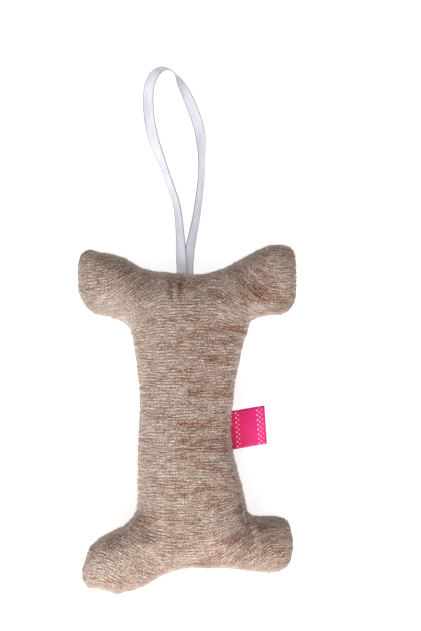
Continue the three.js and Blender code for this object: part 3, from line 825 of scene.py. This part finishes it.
def loose_pile(name, cover, wanted, seed):
    """Thin three-sided spikes on a cover, denser where it faces sideways than where it faces up."""
    draw = np.random.default_rng(seed)
    faces = cover.data.polygons
    areas = np.zeros(len(faces))
    faces.foreach_get("area", areas)
    centres, normals = vectors(faces, "center") / MM, vectors(faces, "normal")
    chance = areas * (0.03 + smoothstep(0.65, 1.0, 1 - np.abs(normals[:, 2])))
    chance *= smoothstep(0.5, 3.0, centres[:, 2]) * smoothstep(0.5, 1.6, np.abs(centres[:, 2] - SEAM_HEIGHT))
    chosen = draw.choice(len(areas), wanted, p=chance / chance.sum())
    normal = normals[chosen]
    root = centres[chosen] + draw.normal(0, 0.5, (wanted, 3)) * (1 - np.abs(normal)) - normal * END_ROOT
    lean = draw.normal(0, 0.55, (wanted, 3)) + (0, -0.15, 0)
    way = unit(normal + lean)
    length = 0.25 + draw.gamma(3.0, 0.27, wanted)
    side = unit(np.cross(way, draw.normal(0, 1, (wanted, 3))))
    other = np.cross(way, side)
    width = draw.uniform(0.13, 0.3, wanted)[:, None]
    corners = [root + width * (side * math.cos(a) + other * math.sin(a))
               for a in (0, math.tau / 3, -math.tau / 3)]
    tip = root + way * np.minimum(length, END_MOST)[:, None]
    points = np.stack([*corners, tip], axis=1).reshape(-1, 3) * MM
    points[:, 2] = np.maximum(points[:, 2], FLOOR_GAP * MM)
    spikes = [(i + a, i + b, i + c) for i in range(0, 4 * wanted, 4)
              for a, b, c in ((0, 2, 1), (0, 1, 3), (1, 2, 3), (2, 0, 3))]
    piece = mesh_piece(name, points, spikes, smooth=False)
    piece.data.materials.append(pile)
    return piece


pile, tree, shader = new_material("loose pile", Roughness=1.0, Specular_IOR_Level=0.1)
tufts = streaks(solid_place(tree), 2.2, 1.4, 3.0, 0.36, 0.58)
dress(shader, ramp(tufts, {0.0: "96765f", 0.35: "ecd6c6", 1.0: "fff3e8"}))
pile_front = loose_pile("loose_pile_front", front, 9000, 11)
pile_back = loose_pile("loose_pile_back", back, 6000, 12)
print("loose pile:", len(pile_front.data.polygons) // 4, "and", len(pile_back.data.polygons) // 4, "ends")

# %% [markdown]
# ## The filling
# Loose polyester fibre fills the cover in six handfuls: one in each knob, and the shaft's in front of and
# behind the squeaker. Each is grown from its CAD solid, made lumpy and drawn in from the cloth.


# %% Filling
DRAWN_IN, TUFT_HEIGHT, TUFT_SIZE = 3.2, 0.8, 7.0  # mm


def stuffing(node, pressed_from=None):
    """The node's filling as a lumpy piece. Given pressed_from, it gets a mesh of its own."""
    made = new_object(node.replace("fill", "fibre"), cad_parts[node].data.copy())
    made.data.materials.clear()
    remesh = made.modifiers.new("Remesh", "REMESH")
    remesh.mode = "VOXEL"
    remesh.voxel_size = 4 * MM
    lumpy = bpy.data.meshes.new_from_object(evaluated(made))
    made.modifiers.clear()
    made.data = lumpy
    xyz = vectors(lumpy.vertices, "co")
    tufts = np.array([noise.fractal(Vector(p) / (TUFT_SIZE * MM), 1.0, 2.0, 3) for p in xyz])
    swell = (TUFT_HEIGHT * np.clip(tufts, -1, 1) - DRAWN_IN) * MM
    xyz += vectors(lumpy.vertices, "normal") * swell[:, None]
    lumpy.vertices.foreach_set("co", xyz.ravel())
    smooth_faces(lumpy)
    lumpy.materials.append(fibre)
    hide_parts(node)
    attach(made, "back_side")
    if pressed_from is not None:
        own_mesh(made)
    return made


fibre, tree, shader = new_material("white fibre", Roughness=1.0, Sheen_Weight=0.4, Sheen_Roughness=0.6)
wisps = streaks(solid_place(tree), 3.0, 1.0, 4.0, 0.3, 0.7)
dress(shader, ramp(wisps, {0.0: "d8d4cb", 1.0: "f6f4ef"}), height=wisps, strength=0.6, depth=0.5)
fills = [stuffing("shaft_fill_back"), stuffing("shaft_fill_front", pressed_from=SEAM_LEVEL)]
fills += [stuffing("knob_fill_" + corner, pressed_from=2 * MM)
          for corner in ("top_left", "top_right", "bottom_left", "bottom_right")]
print("filling:", [f.name for f in fills])

# %% [markdown]
# ## The squeaker
# The bulb is blow-moulded soft plastic with a mouth in its base. Pressing the toy flattens it, so it is
# made again here as a turned wall that can flatten with the squeeze. The plug, reed, seat and wedge are
# small moulded pieces whose CAD shapes are right as they are; they only need their plastic.

# %% Moulded plastic
def moulded(name, dark, light, rough):
    made, tree, shader = new_material(name, Roughness=rough)
    place = solid_place(tree)
    flow = streaks(place, 6.0, 6.0, 2.0, 0.3, 0.7)
    grain = streaks(place, 0.3, 0.3, 1.0, 0.2, 0.8)
    dress(shader, ramp(flow, {0.0: dark, 1.0: light}), height=grain, strength=0.15, depth=0.05,
          roughness=calc("MULTIPLY_ADD", flow, 0.15, rough - 0.07))
    return made


soft_plastic = moulded("soft moulded plastic", "ddd9ce", "efece4", 0.42)
hard_plastic = moulded("hard moulded plastic", "e9e9e6", "f7f7f5", 0.3)
reed_film = moulded("reed film", "c3cbce", "dde3e5", 0.22)
for node, material in (("squeaker_plug", hard_plastic), ("reed_seat", hard_plastic),
                       ("reed_wedge", hard_plastic), ("reed", reed_film)):
    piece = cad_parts[node]
    if not piece.material_slots:
        piece.data.materials.append(material)
    for material_slot in piece.material_slots:
        material_slot.material = material

# %% Squeaker bulb
BULB_RADIUS, BULB_HALF, BULB_FLAT, BULB_WALL, MOUTH, MOUTH_LIP = 21.0, 12.0, 13.0, 0.9, 4.45, 2.4
BULB_BASE, BULB_TOP = SEAM_HEIGHT - BULB_HALF, SEAM_HEIGHT + BULB_HALF


def bulb_profile():
    """The wall as radius and height in mm: down the inside from its top, round the mouth and up the outside."""
    def side(depth, steps=14):
        return [(BULB_FLAT + (BULB_RADIUS - BULB_FLAT - depth) * math.cos(a),
                 SEAM_HEIGHT + (BULB_HALF - depth) * math.sin(a))
                for a in np.linspace(-math.pi / 2, math.pi / 2, steps)]
    inner = [(0.0, BULB_TOP - BULB_WALL), (BULB_FLAT * 0.6, BULB_TOP - BULB_WALL), *reversed(side(BULB_WALL)),
             (MOUTH + BULB_WALL, BULB_BASE + BULB_WALL), (MOUTH + BULB_WALL, BULB_BASE + MOUTH_LIP),
             (MOUTH, BULB_BASE + MOUTH_LIP)]
    return inner + [(MOUTH, BULB_BASE), (MOUTH + 2, BULB_BASE), *side(0), (BULB_FLAT * 0.6, BULB_TOP),
                    (0.0, BULB_TOP)]


def turned(name, profile, sides=48):
    """A wall from pole to pole, turned round the upright axis."""
    turns = [math.tau * k / sides for k in range(sides)]
    points = [Vector((r * math.cos(a), r * math.sin(a), z)) * MM for r, z in profile[1:-1] for a in turns]
    pole, last = len(points), len(points) - sides
    points += [Vector((0, 0, profile[k][1])) * MM for k in (0, -1)]
    faces = tube_faces(len(profile) - 2, sides)
    for k in range(sides):
        ahead = (k + 1) % sides
        faces += [(pole, ahead, k), (last + k, last + ahead, pole + 1)]
    return mesh_piece(name, points, faces)


bulb = turned("squeaker_bulb_wall", bulb_profile())
bulb.data.materials.append(soft_plastic)
print("bulb:", len(bulb.data.polygons), "faces")

# %% [markdown]
# ## The side label
# A woven satin strip is folded double and caught in the seam at a slant, so its top edge rises away from
# the bone. It is a thin closed strip with a round fold at its outer end, a slight wave along it, and rows
# of pale woven dots near the seam and near the fold. It carries no words.

# %% Label mesh
LABEL_REACH, LABEL_HEIGHT, LABEL_PLY, LABEL_TUCK = 19.6, 25.0, 0.35, 4.5
LABEL_OPEN, LABEL_FOLD = 0.45, 0.8  # half the gap between the plies, and how deep their fold is
LABEL_ROOT = Vector((30.55 + 0.88, -6.65, SEAM_HEIGHT))
LEAN, SKEW = math.radians(4), math.tan(math.radians(6))
BEND = LABEL_REACH - LABEL_FOLD


def label_point(x, z, v, side):
    """Where a point of the strip lies, v along its height, on the outer or inner skin of the ply."""
    around = Vector((x - BEND, 0, z)).normalized() if x > BEND else Vector((0, 0, 1 if z > 0 else -1))
    p = Vector((x, 0, z)) + around * (LABEL_PLY / 2 * side)
    free = max(x, 0) / LABEL_REACH
    wave = 0.9 * free * math.sin(v / 25 * 4.2 + 0.8) + 0.35 * free * math.sin(x / 4.1 + v / 7)
    curl = 1.6 * free ** 2
    y = v + SKEW * x
    spot = Vector((p.x * math.cos(LEAN) - y * math.sin(LEAN),
                   p.x * math.sin(LEAN) + y * math.cos(LEAN), p.z + wave + curl))
    return (LABEL_ROOT + spot) * MM


def label_mesh():
    steps, rows = 28, 18
    path = [(x, LABEL_OPEN) for x in np.linspace(-LABEL_TUCK, BEND, steps)]
    path += [(BEND + LABEL_FOLD * math.sin(a), LABEL_OPEN * math.cos(a))
             for a in np.linspace(0, math.pi, 9)[1:-1]]
    path += [(x, -LABEL_OPEN) for x in np.linspace(BEND, -LABEL_TUCK, steps)]
    run = [0.0]
    for (ax, az), (bx, bz) in zip(path, path[1:]):
        run.append(run[-1] + math.hypot(bx - ax, bz - az))
    points, places, faces = [], [], []
    for side in (1, -1):
        for r in range(rows + 1):
            v = LABEL_HEIGHT * (r / rows - 0.5)
            for (x, z), u in zip(path, run):
                points.append(label_point(x, z, v, side))
                places.append((u, v + LABEL_HEIGHT / 2))
    ring = len(path)
    layer = ring * (rows + 1)
    for r in range(rows):
        for k in range(ring - 1):
            a = r * ring + k
            faces.append((a, a + 1, a + 1 + ring, a + ring))
            faces.append((layer + a, layer + a + ring, layer + a + 1 + ring, layer + a + 1))
    for k in range(ring - 1):
        a = rows * ring + k
        faces += [(k, layer + k, layer + k + 1, k + 1), (a, a + 1, layer + a + 1, layer + a)]
    for r in range(rows):
        a, b = r * ring, (r + 1) * ring
        c, d = a + ring - 1, b + ring - 1
        faces += [(a, b, layer + b, layer + a), (c, layer + c, layer + d, d)]
    made = mesh_piece("folded_label", points, faces, places)
    shape = bmesh.new()
    shape.from_mesh(made.data)
    bmesh.ops.recalc_face_normals(shape, faces=shape.faces)
    shape.to_mesh(made.data)
    shape.free()
    return made, run[-1]


label, label_length = label_mesh()
print("label strip:", round(label_length, 1), "mm long before folding")

# %% Label satin
DOT_PITCH = 3.1
DOT_ROWS = [
    # distance from the sewn end and size in mm, and where the row starts, as a share of the pitch
    (5.2, 0.62, 0.0), (6.7, 0.5, 0.5), (19.2, 0.72, 0.2), (20.7, 0.6, 0.7), (22.2, 0.5, 0.2),
]
label_satin, tree, shader = new_material("pink label satin", Roughness=0.45, Specular_IOR_Level=0.3)
uv = cloth_place(tree)
weave = threads(uv, 0.42, 0.1, 6.0, 1.6, 0.6)
along, up = split(uv)[:2]
folded = calc("ABSOLUTE", calc("SUBTRACT", along, label_length / 2))
folded = calc("SUBTRACT", label_length / 2, folded)
dots = 0.0
for at, size, start in DOT_ROWS:
    dx = calc("SUBTRACT", folded, at)
    turn = calc("FRACT", calc("ADD", calc("DIVIDE", up, DOT_PITCH), start))
    dy = calc("MULTIPLY", calc("SUBTRACT", turn, 0.5), DOT_PITCH)
    away = calc("SQRT", calc("ADD", calc("MULTIPLY", dx, dx), calc("MULTIPLY", dy, dy)))
    dots = calc("MAXIMUM", dots, ease(away, size, size * 0.6))
# painted shade and sheen: deeper pink by the seam, as the bone's shade, paler pink towards the fold, as sheen
pink = blend_colours(ease(folded, 5.0, 25.0), "c80050", "e0207c")
woven = blend_colours(calc("MULTIPLY", weave, 0.12), pink, "ef6aaa")
dress(shader, blend_colours(calc("MULTIPLY", dots, 0.8), woven, "f9b9d4"),
      height=calc("ADD", weave, dots), strength=0.4, depth=0.06,
      roughness=calc("MULTIPLY_ADD", weave, -0.1, 0.42))
label.data.materials.append(label_satin)

# %% [markdown]
# ## Closing stitches
# The toy is turned and stuffed through a gap in the seam, which is then closed by hand. Its stitches
# show as short slanted bars of thread across the seam, here along the left of the shaft.

# %% Stitch mesh
THREAD_RADIUS, STITCH_HALF, STITCH_SLANT = 0.22, 1.5, 0.7


def stitch_bars():
    points, faces = [], []
    sides, rings = 6, 7
    along = [i for i, p in enumerate(seam_xy) if p[0] < -25 and -42 < p[1] < -4]
    for i in along:
        here, ahead = (Vector((*seam_xy[k % len(seam_xy)], SEAM_HEIGHT)) for k in (i, i + 1))
        way = (ahead - here).normalized()
        outward = way.cross(Vector((0, 0, 1)))
        if outward.x > 0:
            outward = -outward
        faces += tube_faces(rings, sides, len(points))
        for s in range(rings):
            t = s / (rings - 1) - 0.5
            centre = here + way * (STITCH_SLANT * t) + Vector((0, 0, STITCH_HALF * 2 * t))
            centre = centre + outward * (0.55 - 2.6 * t * t)
            lift = Vector((0, 0, 1)) * math.cos(2 * t) + outward * math.sin(-2 * t)
            first = lift.cross(way).normalized()
            for k in range(sides):
                a = math.tau * k / sides
                points.append((centre + (first * math.cos(a) + way * math.sin(a)) * THREAD_RADIUS) * MM)
    print("closing stitches:", len(along))
    return mesh_piece("closing_stitches", points, faces)


stitches = stitch_bars()

# %% Thread
thread, tree, shader = new_material("taupe thread", Roughness=0.7, Sheen_Weight=0.3)
twist = threads(solid_place(tree), 0.3, 0.1, 3.0, 1.0, 0.4)
dress(shader, ramp(twist, {0.0: "8d786b", 1.0: "bda698"}), height=twist, strength=0.5, depth=0.05)
stitches.data.materials.append(thread)

# %% [markdown]
# ## What moves with what
# When the toy is squeezed, the front cover flattens towards the seam, and so does the bulb towards its
# base; here the covers, their loose pile, the bulb and the stitches ride on the back side, and the front
# cover, its pile and the bulb get meshes of their own. Ribbon and label are held by the seam and keep
# the places they were built in.

# %% Riding
for piece, node, name in ((front, "front_panel", "chenille"), (back, "back_panel", "chenille")):
    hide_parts(node)
    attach(piece, "back_side")
for piece in (pile_front, pile_back):
    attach(piece, "back_side")
for piece in (front, pile_front):
    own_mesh(piece)

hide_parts("squeaker_bulb")
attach(bulb, "back_side")
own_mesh(bulb)

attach(stitches, "back_side")

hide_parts("hanging_loop")
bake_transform(ribbon)

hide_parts("side_label")
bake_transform(label)

# %% [markdown]
# ## Floor and light
# The toy lies on a plain white floor. One large soft lamp stands low below the foot of the picture and a
# little to the left, so the lower knobs are pale and the upper edges dark. The sky fills the rest. The
# floor adds a little of its own light for the camera alone, so that it is white and still keeps a shadow.

# %% Floor and light
FLOOR_HALF, FLOOR_GLOW = 3, 0.7
LAMP_PLACE, LAMP_AIM, LAMP_SIZE, LAMP_POWER = (-0.12, -0.68, 0.60), (0, 0, 0.02), 0.35, 8.4
SKY_LIGHT, SKY_SEEN = 0.57, 0.43  # what lights things, and what is added where it is seen


def seen_directly(tree):
    """1 for what the camera sees, itself or by way of gloss or glass, and 0 for what only lights things."""
    path = add(tree, "ShaderNodeLightPath").outputs
    either = calc("MAXIMUM", path["Is Glossy Ray"], path["Is Transmission Ray"])
    return calc("MAXIMUM", path["Is Camera Ray"], either)


corners = [(x * FLOOR_HALF, y * FLOOR_HALF, 0) for x, y in ((-1, -1), (1, -1), (1, 1), (-1, 1))]
floor = mesh_piece("floor", corners, [(0, 1, 2, 3)])
floor_paint, tree, shader = new_material("white floor", Roughness=0.9, Base_Color=(0.8, 0.8, 0.8, 1))
glow = add(tree, "ShaderNodeEmission", {
    "Color": (1, 1, 1, 1), "Strength": calc("MULTIPLY", seen_directly(tree), FLOOR_GLOW)})
both = add(tree, "ShaderNodeAddShader", {0: shader.outputs[0], 1: glow.outputs[0]})
feed(tree.nodes["Material Output"].inputs["Surface"], both.outputs[0])
floor.data.materials.append(floor_paint)

lamp_data = bpy.data.lights.new("key", "AREA")
lamp_data.size, lamp_data.energy, lamp_data.color = LAMP_SIZE, LAMP_POWER, (1.0, 0.985, 0.97)
lamp = new_object("key", lamp_data)
lamp.location = LAMP_PLACE
lamp.rotation_euler = (Vector(LAMP_AIM) - Vector(LAMP_PLACE)).to_track_quat("-Z", "Y").to_euler()
world = bpy.data.worlds.new("studio")
bpy.context.scene.world = world
world.use_nodes = True
sky = world.node_tree.nodes["Background"]
sky.inputs["Color"].default_value = (0.97, 0.98, 1.0, 1)
feed(sky.inputs["Strength"], calc("MULTIPLY_ADD", seen_directly(world.node_tree), SKY_SEEN, SKY_LIGHT))
bpy.context.scene.view_settings.view_transform = "Standard"
